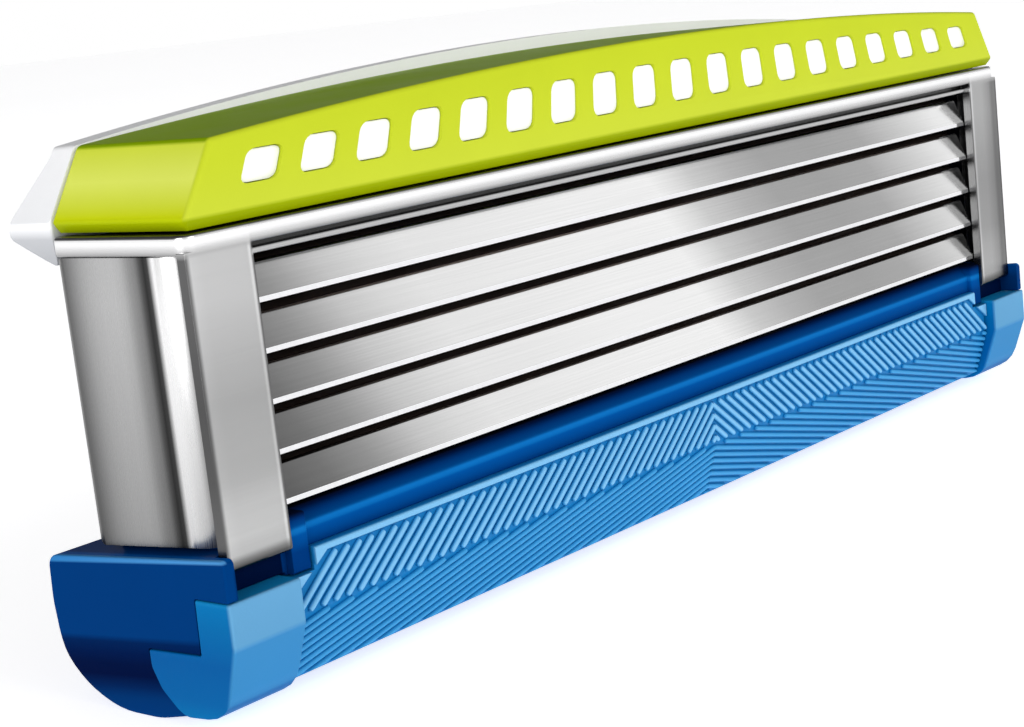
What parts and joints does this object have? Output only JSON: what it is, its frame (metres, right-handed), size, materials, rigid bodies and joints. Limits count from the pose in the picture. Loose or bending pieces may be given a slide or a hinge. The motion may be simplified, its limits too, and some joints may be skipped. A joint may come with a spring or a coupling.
{
  "type": "razor cartridge",
  "caption": "Pivoting razor cartridge with sprung parallel blades, ribbed skin guard, flip-back gel reservoir and rear handle dock.",
  "frame": {"origin": "under the middle of the whole cartridge, at its lowest point", "axes": "+X along the blades, -Y out of the shaving face, +Y towards the handle dock, +Z from the skin guard up to the gel reservoir"},
  "size_m": [0.041, 0.0168, 0.0152],
  "materials": {
    "navy_abs": "moulded, satin",
    "sky_abs": "moulded, satin",
    "blue_elastomer": "ribbed, matt",
    "silver_sheet": "satin",
    "honed_steel": "ground bright along the edge",
    "carrier_steel": "stamped",
    "lime_pp": "moulded, satin",
    "gel": "smooth, wet",
    "milky_pp": "milky, satin",
    "grey_acetal": "moulded, fine spark texture",
    "pin_steel": "turned"
  },
  "bodies": {
    "head": {"housing": "navy_abs", "rear_grille": "navy_abs", "guard_strip": "blue_elastomer", "end_cap_left": "sky_abs", "end_cap_right": "sky_abs", "face_frame": "silver_sheet", "side_clip_left": "silver_sheet", "side_clip_right": "silver_sheet", "spring_comb_left": "grey_acetal", "spring_comb_right": "grey_acetal", "return_leaf": "pin_steel"},
    "blade_1_unit": {"blade_1": "honed_steel", "blade_support_1": "carrier_steel"},
    "blade_2_unit": {"blade_2": "honed_steel", "blade_support_2": "carrier_steel"},
    "blade_3_unit": {"blade_3": "honed_steel", "blade_support_3": "carrier_steel"},
    "blade_4_unit": {"blade_4": "honed_steel", "blade_support_4": "carrier_steel"},
    "blade_5_unit": {"blade_5": "honed_steel", "blade_support_5": "carrier_steel"},
    "reservoir": {"reservoir_shell": "lime_pp", "gel_strip": "gel", "reservoir_tray": "milky_pp", "hinge_pin_left": "pin_steel", "hinge_pin_right": "pin_steel"},
    "dock": {"handle_dock": "grey_acetal", "pivot_pin_left": "pin_steel", "pivot_pin_right": "pin_steel"}
  },
  "joints": [
    {"name": "dock_pivot", "type": "hinge", "parent": "head", "child": "dock", "pos_m": [0, 0.00057, 0.00592], "axis": [1, 0, 0], "range_deg": [0, 40], "stiffness_Nm_per_rad": 0.01, "springref_deg": -20.05, "deforming": ["return_leaf"]},
    {"name": "reservoir_hinge", "type": "hinge", "parent": "head", "child": "reservoir", "pos_m": [0, -0.00243, 0.01142], "axis": [-1, 0, 0], "range_deg": [0, 60]},
    {"name": "blade_1_slide", "type": "slide", "parent": "head", "child": "blade_1_unit", "axis": [0, 1, 0], "range_m": [0, 0.00035], "stiffness_N_per_m": 100, "springref_m": -0.0005},
    {"name": "blade_2_slide", "type": "slide", "parent": "head", "child": "blade_2_unit", "axis": [0, 1, 0], "range_m": [0, 0.00035], "stiffness_N_per_m": 100, "springref_m": -0.0005},
    {"name": "blade_3_slide", "type": "slide", "parent": "head", "child": "blade_3_unit", "axis": [0, 1, 0], "range_m": [0, 0.00035], "stiffness_N_per_m": 100, "springref_m": -0.0005},
    {"name": "blade_4_slide", "type": "slide", "parent": "head", "child": "blade_4_unit", "axis": [0, 1, 0], "range_m": [0, 0.00035], "stiffness_N_per_m": 100, "springref_m": -0.0005},
    {"name": "blade_5_slide", "type": "slide", "parent": "head", "child": "blade_5_unit", "axis": [0, 1, 0], "range_m": [0, 0.00035], "stiffness_N_per_m": 100, "springref_m": -0.0005}
  ]
}
